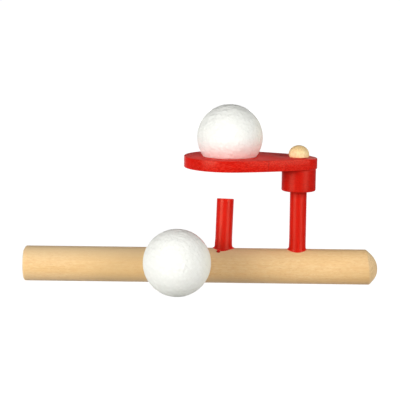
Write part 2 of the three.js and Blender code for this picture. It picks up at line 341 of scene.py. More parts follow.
# Sizes and places, as the solids have them
pipe_low, pipe_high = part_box("pipe")
pipe_radius = pipe_high.z
pipe_length = pipe_high.x
post_low, post_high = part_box("post")
post_radius = (post_high.y - post_low.y) / 2
collar_low, collar_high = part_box("post_collar")
collar_radius = (collar_high.y - collar_low.y) / 2
arm_low, arm_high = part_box("ball_arm")
peg_low, peg_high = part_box("pivot_peg")
peg_radius = (peg_high.y - peg_low.y) / 2
ring_ball_low, ring_ball_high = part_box("ring_ball")
ring_ball_place = (ring_ball_low + ring_ball_high) / 2
spare_ball_low, spare_ball_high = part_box("spare_ball")
spare_ball_place = (spare_ball_low + spare_ball_high) / 2
ball_radius = (spare_ball_high.z - spare_ball_low.z) / 2
post_place = Vector(((post_low.x + post_high.x) / 2, 0, 0))
ring_radius = (arm_high.y - arm_low.y) / 2
arm_tip_radius = arm_high.x - post_place.x
ring_hole_radius = ring_radius - RING_RIM_WIDTH
ring_place = Vector((ring_ball_place.x, ring_ball_place.y, 0))
to_ring = ring_place - post_place
arm_turn = math.atan2(-to_ring.y, -to_ring.x)


# Bench work: selecting, drawing an outline, turning, cutting and easing
def deselect():
    bpy.ops.object.select_all(action="DESELECT")


def take(piece):
    """Makes a piece the only one that is selected, and the one that the tools work on."""
    deselect()
    piece.select_set(True)
    bpy.context.view_layer.objects.active = piece


def first_point(name, place):
    """A new piece in edit mode, with a single point at that place."""
    deselect()
    bpy.ops.mesh.primitive_plane_add(size=1)
    piece = bpy.context.object
    piece.name = name
    piece.data.name = name
    bpy.ops.object.mode_set(mode="EDIT")
    bpy.ops.mesh.select_all(action="SELECT")
    bpy.ops.mesh.merge(type="CENTER")
    bpy.ops.transform.translate(value=place)
    return piece


def close_form():
    """Merges what meets, turns the faces outwards and leaves edit mode."""
    bpy.ops.mesh.select_all(action="SELECT")
    bpy.ops.mesh.remove_doubles(threshold=MERGE_GAP)
    bpy.ops.mesh.normals_make_consistent(inside=False)
    bpy.ops.object.mode_set(mode="OBJECT")


def turned(name, profile, steps, base=Vector(), axis=UPWARD):
    """A piece turned about an axis, from its (distance along it, radius) profile."""
    axis = axis.normalized()
    across = axis.cross(BACKWARD).normalized()
    points = [base + axis * along + across * radius for along, radius in profile]
    piece = first_point(name, points[0])
    for before, after in zip(points, points[1:]):
        bpy.ops.mesh.extrude_vertices_move(TRANSFORM_OT_translate={"value": after - before})
    bpy.ops.mesh.select_all(action="SELECT")
    bpy.ops.mesh.spin(steps=steps, angle=FULL_TURN, center=base, axis=axis, use_auto_merge=True)
    close_form()
    return piece


def arc(along, radius, size, start, end, steps):
    """Profile points of an arc: its angle is 0 straight outwards, a quarter along the axis."""
    turns = [start + (end - start) * step / steps for step in range(steps + 1)]
    return [(along + size * math.sin(turn), radius + size * math.cos(turn)) for turn in turns]


def low_edge(along, radius, size, steps=EDGE_STEPS):
    """Profile points of a rounded outer edge, at the end where the profile starts."""
    return arc(along + size, radius - size, size, -QUARTER_TURN, 0, steps)


def high_edge(along, radius, size, steps=EDGE_STEPS):
    """Profile points of a rounded outer edge, at the far end."""
    return arc(along - size, radius - size, size, 0, QUARTER_TURN, steps)


def straight(start, end, radius, step=WALL_STEP):
    """Profile points of a plain wall, set at even steps."""
    count = max(1, round(abs(end - start) / step))
    return [(start + (end - start) * index / count, radius) for index in range(1, count)]


def cut_away(piece, cutter):
    """Cuts the cutter's shape out of a piece, and throws the cutter away."""
    take(piece)
    bpy.ops.object.modifier_add(type="BOOLEAN")
    cut = piece.modifiers[-1]
    cut.object = cutter
    cut.operation = "DIFFERENCE"
    cut.solver = "EXACT"
    bpy.ops.object.modifier_apply(modifier=cut.name)
    bpy.data.objects.remove(cutter)


def drill(name, low, high, radius, base, axis=UPWARD):
    """A plain round cutter."""
    profile = [(low, 0), (low, radius), (high, radius), (high, 0)]
    return turned(name, profile, SMALL_ROUND_STEPS, base, axis)


def smooth(piece, sharp_angle=40):
    """Shades a piece smooth, but for the edges that turn more sharply than this many degrees."""
    take(piece)
    bpy.ops.object.shade_smooth_by_angle(angle=math.radians(sharp_angle))


def mount(piece, body, node, finish):
    """Sets a finished piece on its body, in the place of its plain node."""
    piece.data.materials.clear()
    piece.data.materials.append(finish)
    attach(piece, body)
    if node:
        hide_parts(node)


# Finish work: shader nodes and what they are put together into
def add_node(tree, kind, inputs=None, **settings):
    """A shader node, with its settings and with the values or links of its inputs."""
    new = tree.nodes.new("ShaderNode" + kind)
    for name, value in settings.items():
        setattr(new, name, value)
    for name, value in (inputs or {}).items():
        if isinstance(value, bpy.types.NodeSocket):
            tree.links.new(value, new.inputs[name])
        else:
            new.inputs[name].default_value = value
    return new


def new_finish(name):
    """A material with its tree, its shader and the piece's own places."""
    finish = bpy.data.materials.new(name)
    finish.use_nodes = True
    tree = finish.node_tree
    shader = tree.nodes["Principled BSDF"]
    place = add_node(tree, "TexCoord").outputs["Object"]
    return finish, tree, shader, place


def maths(tree, operation, first, second=0.0, third=0.0):
    inputs = {0: first, 1: second, 2: third}
    return add_node(tree, "Math", inputs, operation=operation).outputs[0]


def vector_maths(tree, operation, first, second):
    return add_node(tree, "VectorMath", {0: first, 1: second}, operation=operation).outputs


def dot(tree, first, second):
    return vector_maths(tree, "DOT_PRODUCT", first, second)["Value"]


def parts_of(tree, vector):
    """The X, Y and Z of a vector."""
    return add_node(tree, "SeparateXYZ", {0: vector}).outputs


def blend(tree, value, start, end, at_start=0.0, at_end=1.0):
    """Runs evenly from at_start to at_end while a number goes from start to end."""
    inputs = {0: value, 1: start, 2: end, 3: at_start, 4: at_end}
    return add_node(tree, "MapRange", inputs).outputs[0]


def ramp(tree, value, *stops):
    """Runs a number through straight lines between (from, to) stops."""
    graph = add_node(tree, "ValToRGB", {"Fac": value})
    steps = graph.color_ramp.elements
    while len(steps) < len(stops):
        steps.new(0.5)
    for step, (position, level) in zip(steps, stops):
        step.position = position
        step.color = (level, level, level, 1)
    return graph.outputs["Color"]


def tint(tree, share, first, second):
    """Colour between two colours: the first at share 0, the second at share 1."""
    mix = add_node(tree, "Mix", data_type="RGBA")
    for index, value in ((0, share), (6, first), (7, second)):
        if isinstance(value, bpy.types.NodeSocket):
            tree.links.new(value, mix.inputs[index])
        elif index:
            mix.inputs[index].default_value = (*value, 1)
        else:
            mix.inputs[index].default_value = value
    return mix.outputs[2]


def layered(tree, colour, *layers):
    """Lays (share, colour) tints over a colour, one after the other."""
    for share, over in layers:
        colour = tint(tree, share, colour, over)
    return colour


def raised(tree, height, depth, under=None):
    """Surface relief, depth metres from its lowest to its highest."""
    relief = add_node(tree, "Bump", {"Height": height, "Distance": depth, "Strength": 1.0})
    if under is not None:
        tree.links.new(under, relief.inputs["Normal"])
    return relief.outputs[0]


def facing(tree, way):
    """How squarely the surface faces a direction: 1 straight at it, 0 from the side on."""
    normal = add_node(tree, "TexCoord").outputs["Normal"]
    return dot(tree, normal, way)


def grain_space(tree, place, turn=AS_DRAWN, shift=(0, 0, 0), squeeze=(1, 1, 1)):
    """The piece's own places, moved, turned so that X runs along the grain, and squeezed."""
    inputs = {"Vector": place, "Location": shift, "Rotation": turn, "Scale": squeeze}
    return add_node(tree, "Mapping", inputs).outputs[0]


def streaks(tree, along_grain, size, stretch, detail, roughness):
    """Cloudy streaks that are size across and stretch times as long."""
    fine = (1 / (size * stretch), 1 / size, 1 / size)
    scaled = add_node(tree, "Mapping", {"Vector": along_grain, "Scale": fine}).outputs[0]
    cloud = add_node(tree, "TexNoise", {
        "Vector": scaled, "Scale": 1.0, "Detail": detail, "Roughness": roughness,
    })
    return cloud.outputs["Fac"]


def growth_rings(tree, along_grain, pith):
    """Yearly rings about a pith that runs along the grain: 0 early in the year, 1 late."""
    flat = add_node(tree, "Mapping", {
        "Vector": along_grain, "Location": (0, -pith[0], -pith[1]), "Scale": (0, 1, 1),
    }).outputs[0]
    distance = add_node(tree, "VectorMath", {0: flat}, operation="LENGTH").outputs["Value"]
    drift = streaks(tree, along_grain, *RING_DRIFT)
    moved = maths(tree, "MULTIPLY_ADD", drift, RING_WOBBLE, distance)
    year = maths(tree, "FRACT", maths(tree, "DIVIDE", moved, RING_SPACING))
    return ramp(tree, year, *RING_YEAR)


# Finishes
def natural_wood(name, light, dark, pale, end_grain, pith, mottling,
                 turn=AS_DRAWN, grain_way=ALONG_PIPE, painted_sheen=0.0):
    """Bare pale wood: faint yearly rings, streaks, fine fibres, short flecks and open end grain,
    with painted shade low on the pipe's domed end. With painted_sheen above 0 it gets the pipe's
    other painted light and shade: end grain lighter above and darker below, lighter wood where
    the spare ball's shadow falls, and painted sheen of that share toward its top and bottom."""
    finish, tree, shader, place = new_finish(name)
    grain = grain_space(tree, place, turn)
    sides = parts_of(tree, place)
    rings = growth_rings(tree, grain, pith)
    broad = streaks(tree, grain, *BROAD_STREAKS)
    long_streaks = streaks(tree, grain, *LONG_STREAKS)
    fibres = streaks(tree, grain, *FIBRES)
    flecks = ramp(tree, streaks(tree, grain, *FLECKS), *SHORT_FLECKS)
    mottle = streaks(tree, grain, *MOTTLE)
    mottle_dark = ((MOTTLE_LOW, MOTTLE_DARK_SHARE * mottling), (MOTTLE_MIDDLE, 0.0))
    mottle_pale = ((MOTTLE_MIDDLE, 0.0), (MOTTLE_HIGH, MOTTLE_PALE_SHARE * mottling))
    colour = layered(
        tree, light,
        (maths(tree, "MULTIPLY", rings, RING_SHARE), dark),
        (ramp(tree, broad, *PALE_STREAKS), pale),
        (ramp(tree, long_streaks, *DARK_STREAKS), dark),
        (ramp(tree, fibres, *DARK_FIBRES), dark),
        (ramp(tree, mottle, *mottle_dark), MOTTLE_BROWN),
        (ramp(tree, mottle, *mottle_pale), pale),
        (maths(tree, "MULTIPLY", flecks, FLECK_SHARE), FLECK_BROWN),
    )
    # Painted light and shade: the end grain is lighter above the pipe's middle and darker below it.
    if painted_sheen:
        height = blend(tree, sides["Z"], -END_SHADE_REACH, END_SHADE_REACH)
        shaded = [END_SHADE_LOW * part for part in end_grain]
        lit = [END_SHADE_HIGH * part for part in end_grain]
        end_grain = tint(tree, height, shaded, lit)
    pores = ramp(tree, streaks(tree, grain, *PORES), *OPEN_PORES)
    cut = tint(tree, maths(tree, "MULTIPLY", pores, PORE_SHARE), end_grain, PORE_BROWN)
    squareness = maths(tree, "ABSOLUTE", facing(tree, grain_way))
    colour = tint(tree, ramp(tree, squareness, *END_GRAIN_TURN), colour, cut)
    # Painted light where the spare ball's shadow falls on the pipe, and painted sheen toward its
    # top and bottom.
    if painted_sheen:
        colour = paint_pipe_light(tree, colour, sides, painted_sheen)
    # Painted shade: darker wood low down on the pipe's domed end.
    down_the_dome = dot(tree, place, DOME_SHADE_WAY)
    dome_shade = blend(tree, down_the_dome, DOME_SHADE_FROM, DOME_SHADE_TO, 0.0, DOME_SHADE_SHARE)
    colour = tint(tree, dome_shade, colour, DOME_SHADE_WOOD)
    tree.links.new(colour, shader.inputs["Base Color"])
    rough = maths(tree, "MULTIPLY_ADD", fibres, FIBRE_ROUGHNESS, WOOD_ROUGHNESS)
    tree.links.new(rough, shader.inputs["Roughness"])
    shader.inputs["Specular IOR Level"].default_value = WOOD_GLOSS
    relief = raised(tree, fibres, FIBRE_RELIEF, raised(tree, long_streaks, STREAK_RELIEF))
    tree.links.new(relief, shader.inputs["Normal"])
    return finish


def paint_pipe_light(tree, colour, sides, painted_sheen):
    """Lightens a stretch of the mouth half, as painted light where the spare ball's shadow falls,
    and greys it toward its top and bottom as painted sheen.
    """
    off_shadow_lift = maths(tree, "ABSOLUTE", maths(tree, "SUBTRACT", sides["X"], SHADOW_LIFT_MIDDLE))
    shadow_lift = blend(tree, off_shadow_lift, SHADOW_LIFT_FROM, SHADOW_LIFT_TO, SHADOW_LIFT_SHARE, 0.0)
    # Painted sheen: greyer wood toward the top and bottom, mostly on the mouth half.
    off_middle = maths(tree, "ABSOLUTE", sides["Z"])
    edge = blend(tree, off_middle, SHEEN_FROM, SHEEN_TO, 0.0, painted_sheen)
    mouth_half = blend(
        tree, sides["X"], SHEEN_MOUTH_HALF, SHEEN_DOME_END, 1.0, SHEEN_DOME_SHARE,
    )
    return layered(
        tree, colour,
        (shadow_lift, SHADOW_LIFT_WOOD),
        (maths(tree, "MULTIPLY", edge, mouth_half), SHEEN_WOOD),
    )


def red_wood(name, turn=AS_DRAWN, squeeze=(1, 1, 1), depth=1.0, gloss=0.36, sanding=0.0,
             brushing=1.0, mottling=1.0, shading=None, across=None):
    """Red paint brushed on wood, dull on its flat top faces, which get a lighter, pinker red as
    painted light and sheen. depth is how full the red is, gloss and sanding how strong its shine
    is and how far it is drawn out, brushing how clearly the strokes show, mottling how blotchy it
    is and how many pale specks are painted glints, shading where painted shade and shadow darken
    it, and across where a line runs over the arm's edge, whose wide end gets a painted highlight
    and the top of whose tip gets painted sheen."""
    finish, tree, shader, place = new_finish(name)
    grain = grain_space(tree, place, turn, squeeze=squeeze)
    sides = parts_of(tree, place)
    strokes = streaks(tree, grain, *BRUSH_STROKES)
    patches = streaks(tree, grain, *PAINT_PATCHES)
    skin = streaks(tree, grain, *PAINT_SKIN)
    speckle = streaks(
        tree, grain, SPECKLE_WIDTH, SPECKLE_LENGTH * mottling, SPECKLE_DETAIL,
        SPECKLE_COARSENESS,
    )
    stroke_stops = ((STROKE_LOW, 1 - brushing), (STROKE_HIGH, 1.0))
    patch_stops = ((PATCH_LOW, PATCH_SHARE / mottling), (PATCH_HIGH, 0.0))
    dark_share = SPECKLE_SHARE * mottling
    dark_stops = ((SPECKLE_LOW, dark_share), (SPECKLE_MIDDLE, 0.0))
    glint_stops = ((SPECKLE_MIDDLE, 0.0), (SPECKLE_HIGH, dark_share - SPECKLE_SHARE))
    colour = layered(
        tree, tint(tree, ramp(tree, strokes, *stroke_stops), *STROKE_REDS),
        (ramp(tree, patches, *patch_stops), PATCH_RED),
        (ramp(tree, speckle, *dark_stops), DARK_RED),
        # Pale specks: painted glints.
        (ramp(tree, speckle, *glint_stops), GLINT_RED),
    )
    shaded_share = 0.0
    # Painted shade and shadow: darker red between the given heights.
    if shading:
        shaded_share = painted_shade_share(tree, sides["Z"], *shading)
        colour = tint(tree, shaded_share, colour, DARK_RED)
    face_stops = ((STROKE_LOW, 0.0), (STROKE_HIGH, 1.0))
    face = tint(tree, ramp(tree, strokes, *face_stops), *LIT_FACE_REDS)
    if across:
        line = line_across(tree, sides["X"], patches, across)
        # Painted light: the arm's wide end is a brighter red.
        lit_end = blend(tree, sides["X"], LIT_END_FROM, LIT_END_TO, 0.0, LIT_END_SHARE)
        colour = layered(tree, colour, (line, DARK_RED), (lit_end, LIT_END_RED))
        # Painted sheen: the top of the arm's tip is a paler, pinker red.
        tip_sheen = blend(tree, sides["X"], TIP_SHEEN_FROM, TIP_SHEEN_TO, 0.0, TIP_SHEEN_SHARE)
        face = tint(tree, tip_sheen, face, TIP_SHEEN_RED)
    # The flat top faces take the lighter, pinker reds: painted light and sheen from above.
    flat = ramp(tree, facing(tree, UPWARD), *FLAT_TURN)
    colour = tint(tree, flat, tint(tree, depth, DEEPEST_RED, colour), face)
    tree.links.new(colour, shader.inputs["Base Color"])
    dull = maths(tree, "MULTIPLY", flat, FLAT_ROUGHNESS)
    dull = maths(tree, "MULTIPLY_ADD", shaded_share, SHADED_ROUGHNESS, dull)
    least = SANDED_ROUGHNESS if sanding else PAINT_ROUGHNESS
    rough = maths(tree, "MULTIPLY_ADD", strokes, STROKE_ROUGHNESS, least)
    tree.links.new(maths(tree, "ADD", rough, dull), shader.inputs["Roughness"])
    shader.inputs["Specular IOR Level"].default_value = gloss
    shader.inputs["Specular Tint"].default_value = GLOSS_TINT
    if sanding:
        shader.inputs["Anisotropic"].default_value = sanding
        upright = add_node(tree, "CombineXYZ", {"X": 0.0, "Y": 0.0, "Z": 1.0}).outputs[0]
        tree.links.new(upright, shader.inputs["Tangent"])
    relief = raised(tree, strokes, STROKE_RELIEF * brushing)
    relief = raised(tree, skin, PAINT_SKIN_RELIEF, relief)
    if mottling > 1:
        relief = raised(tree, speckle, SPECKLE_RELIEF * (mottling - 1), relief)
    tree.links.new(relief, shader.inputs["Normal"])
    return finish


def painted_shade_share(tree, height, start, end, at_start, at_end, way):
    """How much painted shade there is: it changes between two heights, on one side if way is set.
    """
    share = blend(tree, height, start, end, at_start, at_end)
    if way:
        share = maths(tree, "MULTIPLY", share, ramp(tree, facing(tree, way), *SIDE_TURN))
    return share


def line_across(tree, along, patches, place):
    """A thin wavering line over the front of the arm's edge."""
    waver = maths(tree, "MULTIPLY_ADD", patches, LINE_WAVER, -place - LINE_WAVER / 2)
    off_line = maths(tree, "ABSOLUTE", maths(tree, "ADD", along, waver))
    line = blend(tree, off_line, LINE_FROM, LINE_TO, LINE_SHARE, 0.0)
    return maths(tree, "MULTIPLY", line, ramp(tree, facing(tree, -BACKWARD), *FRONT_TURN))


def white_foam(name, shift, centre, red_reflection_way, red_reflection_start, red_reflection_end, wood_reflection):
    """Moulded foam: fused beads with shallow joints, soft dents, matt, with painted warm reflection
    of wood toward the end of its +X radius and painted red reflection of the paint near it, from
    red_reflection_start to red_reflection_end metres from its centre along red_reflection_way."""
    finish, tree, shader, place = new_finish(name)
    moved = grain_space(tree, place, shift=shift)
    warp = add_node(tree, "TexNoise", {
        "Vector": moved, "Scale": BEADS_PER_METRE, "Detail": BEAD_WARP_DETAIL,
    }).outputs["Color"]
    bent = add_node(
        tree, "VectorMath", {0: warp, 1: BEAD_WARP, 2: moved}, operation="MULTIPLY_ADD",
    ).outputs[0]
    beads = add_node(tree, "TexVoronoi", {"Vector": bent, "Scale": BEADS_PER_METRE})
    joint = ramp(tree, beads.outputs["Distance"], *BEAD_JOINTS)
    skin = streaks(tree, moved, *FOAM_SKIN)
    dents = streaks(tree, moved, *FOAM_DENTS)
    from_centre = vector_maths(tree, "SUBTRACT", place, centre)[0]
    sideways = parts_of(tree, from_centre)["X"]
    # Painted red reflection: the foam is reddened toward red_reflection_way, where red paint is
    # near.
    red_reflection_height = maths(tree, "SUBTRACT", dot(tree, from_centre, red_reflection_way), RED_REFLECTION_WAVER / 2)
    red_reflection_height = maths(tree, "MULTIPLY_ADD", dents, RED_REFLECTION_WAVER, red_reflection_height)
    red_reflection = blend(tree, red_reflection_height, red_reflection_start, red_reflection_end)
    colour = layered(
        tree, FOAM_WHITE,
        (joint, FOAM_JOINT),
        (ramp(tree, skin, *SKIN_SHADE), FOAM_SHADE),
        # Painted warm reflection of the wood toward +X
        (blend(tree, sideways, WOOD_REFLECTION_FROM, WOOD_REFLECTION_TO, 0.0, wood_reflection), FOAM_WOOD_REFLECTION),
        (maths(tree, "POWER", red_reflection, RED_REFLECTION_FADE), FOAM_RED_REFLECTION),
    )
    tree.links.new(colour, shader.inputs["Base Color"])
    shader.inputs["Roughness"].default_value = FOAM_ROUGHNESS
    shader.inputs["Specular IOR Level"].default_value = FOAM_GLOSS
    relief = raised(tree, dents, DENT_RELIEF)
    relief = raised(tree, skin, SKIN_RELIEF, relief)
    relief = raised(tree, maths(tree, "SUBTRACT", 1.0, joint), JOINT_RELIEF, relief)
    tree.links.new(relief, shader.inputs["Normal"])
    return finish


# Pieces
def make_pipe():
    """Drill point, bore, flared mouth, wall, flank and nose, then the two sockets."""
    wall_end = pipe_length - DOME_LENGTH
    nose_edge = pipe_radius - DOME_FLANK
    nose_rise = DOME_LENGTH - DOME_FLANK
    nose_radius = (nose_edge ** 2 + nose_rise ** 2) / (2 * nose_rise)
    nose_turn = math.acos(nose_edge / nose_radius)
    shoulder = [(wall_end + SHOULDER_ROUND * along, pipe_radius - SHOULDER_ROUND * inward)
                for along, inward in SHOULDER_EASE]
    profile = [
        (BORE_DEPTH + DRILL_POINT, 0),
        (BORE_DEPTH, BORE_RADIUS),
        *straight(BORE_DEPTH, BORE_FLARE, BORE_RADIUS, BORE_STEP),
        (BORE_FLARE, BORE_RADIUS),
        (BORE_FLARE / 3, BORE_RADIUS + BORE_FLARE / 2),
        (0, BORE_RADIUS + BORE_FLARE),
        *low_edge(0, pipe_radius, MOUTH_ROUND, WIDE_EDGE_STEPS),
        *straight(MOUTH_ROUND, wall_end - SHOULDER_ROUND, pipe_radius),
        *shoulder,
        (wall_end + DOME_FLANK / 2, pipe_radius - DOME_FLANK / 2),
        *arc(pipe_length - nose_radius, 0, nose_radius, nose_turn, QUARTER_TURN, NOSE_STEPS)[:-1],
        (pipe_length, 0),
    ]
    pipe = turned("wood_pipe", profile, ROUND_STEPS, axis=ALONG_PIPE)
    wear_mouth(pipe)
    slope_dome(pipe, wall_end)
    cut_away(pipe, drill(
        "nozzle_drill", 0, 2 * pipe_radius, NOZZLE_RADIUS + SOCKET_FIT, NOZZLE_PLACE, nozzle_axis(),
    ))
    cut_away(pipe, drill(
        "post_drill", pipe_radius - POST_SOCKET_DEPTH, 2 * pipe_radius, post_radius + SOCKET_FIT,
        post_place,
    ))
    smooth(pipe, sharp_angle=30)
    return pipe


def wear_mouth(pipe):
    """Wears the top of the mouth's rim back, less and less along the pipe."""
    for point in pipe.data.vertices:
        if point.co.x < WEAR_REACH:
            high = max(0, point.co.z / pipe_radius - (1 - WEAR_SHARE)) / WEAR_SHARE
            point.co.x += MOUTH_WEAR * high * (1 - point.co.x / WEAR_REACH)


def slope_dome(pipe, wall_end):
    """Leans the domed end out of square, which fades out along the wall before it."""
    for point in pipe.data.vertices:
        past = (point.co.x - wall_end + DOME_BLEND) / DOME_BLEND
        if past > 0:
            height = point.co.z + pipe_radius * DOME_SLOPE_DROP
            point.co.x -= min(past, 1) * height * math.tan(DOME_SLOPE)


def nozzle_turn():
    return Matrix.Rotation(NOZZLE_LEAN, 3, "Y") @ Matrix.Rotation(-NOZZLE_LEAN_BACK, 3, "X")


def nozzle_axis():
    return nozzle_turn() @ UPWARD


def make_nozzle():
    """A hollow dowel, its top edges eased and the top sloping down to the back."""
    inner_edge = NOZZLE_EDGE / 2
    profile = [
        (NOZZLE_LOW, NOZZLE_BORE_RADIUS),
        (NOZZLE_LOW, NOZZLE_RADIUS),
        *straight(NOZZLE_LOW, NOZZLE_TOP - NOZZLE_EDGE, NOZZLE_RADIUS),
        *high_edge(NOZZLE_TOP, NOZZLE_RADIUS, NOZZLE_EDGE),
        *arc(NOZZLE_TOP - inner_edge, NOZZLE_BORE_RADIUS + inner_edge, inner_edge,
             QUARTER_TURN, 2 * QUARTER_TURN, EDGE_STEPS),
        *straight(NOZZLE_TOP - inner_edge, NOZZLE_LOW, NOZZLE_BORE_RADIUS),
        (NOZZLE_LOW, NOZZLE_BORE_RADIUS),
    ]
    axis = nozzle_axis()
    back = nozzle_turn() @ BACKWARD
    nozzle = turned("red_nozzle", profile, SMALL_ROUND_STEPS, NOZZLE_PLACE, axis)
    for point in nozzle.data.vertices:
        spot = point.co - NOZZLE_PLACE
        if spot.dot(axis) > NOZZLE_TOP - NOZZLE_CUT_REACH:
            point.co -= axis * spot.dot(back) * math.tan(NOZZLE_CUT)
    smooth(nozzle)
    return nozzle


def make_post():
    """A solid dowel with rounded ends."""
    profile = [
        (post_low.z, 0),
        *low_edge(post_low.z, post_radius, POST_EDGE),
        *straight(post_low.z + POST_EDGE, post_high.z - POST_EDGE, post_radius),
        *high_edge(post_high.z, post_radius, POST_EDGE),
        (post_high.z, 0),
    ]
    post = turned("red_post", profile, SMALL_ROUND_STEPS, post_place)
    smooth(post)
    return post


def make_collar():
    """A round block: bored for the peg, and counterbored from below for the post."""
    low, high = collar_low.z, collar_high.z
    socket = post_radius + SOCKET_FIT
    peg_hole = PEG_SHANK_RADIUS + SOCKET_FIT
    profile = [
        (low, socket),
        *low_edge(low, collar_radius, COLLAR_ROUND, WIDE_EDGE_STEPS),
        *straight(low + COLLAR_ROUND, high - COLLAR_TOP_ROUND, collar_radius, COLLAR_STEP),
        *high_edge(high, collar_radius, COLLAR_TOP_ROUND),
        (high, peg_hole),
        (low + COLLAR_SOCKET_DEPTH, peg_hole),
        (low + COLLAR_SOCKET_DEPTH, socket),
        (low, socket),
    ]
    collar = turned("red_collar", profile, ROUND_STEPS, post_place)
    smooth(collar)
    return collar


def make_arm():
    """The plate's outline is drawn by four sweeps of one point, then filled, raised and eased."""
    reach = to_ring.length
    from_ring = ARM_SIDE_RADIUS - ring_radius
    from_tip = ARM_SIDE_RADIUS - arm_tip_radius
    along = (from_tip ** 2 - from_ring ** 2 + reach ** 2) / (2 * reach)
    across = math.sqrt(from_tip ** 2 - along ** 2)
    tip_turn = math.atan2(across, along)
    ring_turn = math.atan2(across, along - reach)
    side_turn = ring_turn - tip_turn
    turn = Matrix.Rotation(arm_turn, 3, "Z")
    low, high = arm_low.z, arm_high.z

    def spot(x, y):
        return post_place + turn @ Vector((x, y, 0)) + Vector((0, 0, low))

    tip = Vector((math.cos(tip_turn), math.sin(tip_turn))) * arm_tip_radius
    arm = first_point("red_ring_arm", spot(*tip))
    sweeps = (
        (spot(-along, -across), side_turn, SIDE_SWEEP_STEPS),
        (spot(-reach, 0), FULL_TURN - 2 * ring_turn, RING_SWEEP_STEPS),
        (spot(-along, across), side_turn, SIDE_SWEEP_STEPS),
        (spot(0, 0), 2 * tip_turn, TIP_SWEEP_STEPS),
    )
    for centre, angle, steps in sweeps:
        bpy.ops.mesh.spin(steps=steps, angle=-angle, center=centre, axis=(0, 0, 1))
    bpy.ops.mesh.select_all(action="SELECT")
    bpy.ops.mesh.remove_doubles(threshold=LEVEL_GAP)
    bpy.ops.mesh.edge_face_add()
    bpy.ops.mesh.extrude_region_move(TRANSFORM_OT_translate={"value": (0, 0, high - low)})
    bpy.ops.mesh.select_all(action="SELECT")
    bpy.ops.mesh.normals_make_consistent(inside=False)
    bpy.ops.mesh.select_mode(type="EDGE")
    form = bmesh.from_edit_mesh(arm.data)
    for edge in form.edges:
        heights = [point.co.z for point in edge.verts]
        edge.select = abs(heights[0] - heights[1]) < LEVEL_GAP
    bmesh.update_edit_mesh(arm.data)
    bpy.ops.mesh.bevel(offset=ARM_EDGE, segments=ARM_EDGE_STEPS, profile=0.5)
    bpy.ops.mesh.select_mode(type="VERT")
    close_form()
    ring_punch = punch_profile(ring_hole_radius, ARM_EDGE)
    pivot_punch = punch_profile(PEG_SHANK_RADIUS + PIVOT_CLEARANCE, ARM_EDGE / 2)
    cut_away(arm, turned("ring_punch", ring_punch, ROUND_STEPS, ring_place))
    cut_away(arm, turned("pivot_punch", pivot_punch, SMALL_ROUND_STEPS, post_place))
    middle = (low + high) / 2
    for point in arm.data.vertices:
        if point.co.z > middle:
            point.co.z -= tip_wear(point.co.x) * (point.co.z - middle) / (high - middle)
    smooth(arm, sharp_angle=35)
    return arm


def tip_wear(x):
    """How far the worn top of the arm has sunk, from the peg's head to the tip."""
    clear = x - post_place.x - TIP_WEAR_START
    return TIP_WEAR * max(0, clear) / (arm_tip_radius - TIP_WEAR_START)


def punch_profile(radius, ease):
    """The cutter's profile for a hole through the plate, eased at both faces."""
    low, high = arm_low.z, arm_high.z
    corner = ease * HOLE_EASE_SHARE
    return [
        (low - PUNCH_REACH, 0),
        (low - PUNCH_REACH, radius + ease),
        (low, radius + ease),
        (low + corner, radius + corner),
        (low + ease, radius),
        (high - ease, radius),
        (high - corner, radius + corner),
        (high, radius + ease),
        (high + PUNCH_REACH, radius + ease),
        (high + PUNCH_REACH, 0),
    ]


def make_peg():
    """A round-headed peg: chamfered shank, tucked underside and domed head."""
    head_low = arm_high.z + PEG_GAP
    widest = head_low + PEG_WIDEST
    rise = peg_high.z - widest
    dome = [(widest + rise * math.sin(turn), peg_radius * math.cos(turn))
            for turn in (QUARTER_TURN * step / NOSE_STEPS for step in range(NOSE_STEPS))]
    tuck = [(widest - PEG_WIDEST * share, peg_radius - PEG_TUCK * share ** 2)
            for share in (1 - step / NOSE_STEPS for step in range(NOSE_STEPS))]
    profile = [
        (peg_low.z, 0),
        (peg_low.z, PEG_SHANK_RADIUS - PEG_CHAMFER),
        (peg_low.z + PEG_CHAMFER, PEG_SHANK_RADIUS),
        *straight(peg_low.z + PEG_CHAMFER, head_low, PEG_SHANK_RADIUS),
        (head_low, PEG_SHANK_RADIUS),
        *tuck,
        *dome,
        (peg_high.z, 0),
    ]
    peg = turned("round_head_peg", profile, SMALL_ROUND_STEPS, post_place)
    for point in peg.data.vertices:
        above = point.co.z - head_low
        if above > -PEG_HEAD_MARGIN:
            point.co.x -= PEG_OFFSET * min(1, above / PEG_WIDEST)
    smooth(peg)
    return peg


def make_ball(name, place, seed):
    """A moulded foam ball: its fused beads stand a little proud of the joints between them."""
    deselect()
    bpy.ops.mesh.primitive_ico_sphere_add(subdivisions=BALL_SUBDIVISIONS, radius=ball_radius)
    ball = bpy.context.object
    ball.name = name
    ball.data.name = name
    for point in ball.data.vertices:
        out = point.co.normalized()
        spot = out * ball_radius / MM + Vector((seed, 2 * seed, 3 * seed))
        distances, _ = noise.voronoi(spot / FOAM_BEAD_WIDTH)
        joint = min(1.0, (distances[1] - distances[0]) / FOAM_BEAD_JOINT)
        hollow = 0.5 + 0.5 * noise.noise(spot / FOAM_HOLLOW_WIDTH)
        sink = FOAM_JOINT_DEPTH * (1 - joint) ** 2 + FOAM_HOLLOW_DEPTH * hollow
        sink += FOAM_BEAD_ROUNDING * distances[0]
        point.co = out * (ball_radius - sink * MM)
    ball.data.transform(Matrix.Translation(place))
    smooth(ball, sharp_angle=60)
    return ball


